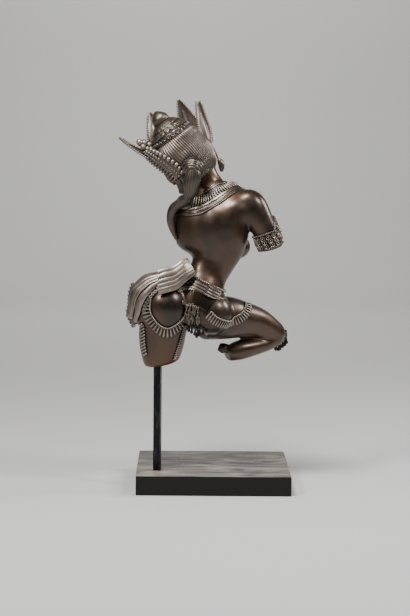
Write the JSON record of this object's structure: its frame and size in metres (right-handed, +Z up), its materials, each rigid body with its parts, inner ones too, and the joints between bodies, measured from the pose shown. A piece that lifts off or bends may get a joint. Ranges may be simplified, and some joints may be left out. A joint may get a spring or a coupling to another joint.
{
  "type": "cast bronze dancing figure on stand",
  "caption": "Fragment of a cast bronze dancing figure, one leg raised and bent, held by a square rod over a low rectangular block.",
  "frame": {"origin": "centre of the block's underside", "axes": "+Z up through the figure, +X to the right as the figure's back is seen, +Y the way the figure faces"},
  "size_m": [0.3009, 0.2489, 0.6783],
  "materials": {
    "bronze": "old cast bronze with a dark brown patina, rubbed grey-beige on the high places and reddish brown where it is worn",
    "black_steel": "blackened square steel bar",
    "black_wood": "blackened and waxed wood with faint rubbed streaks"
  },
  "bodies": {
    "root": {"figure": "bronze", "rod": "black_steel", "base": "black_wood"}
  },
  "joints": []
}
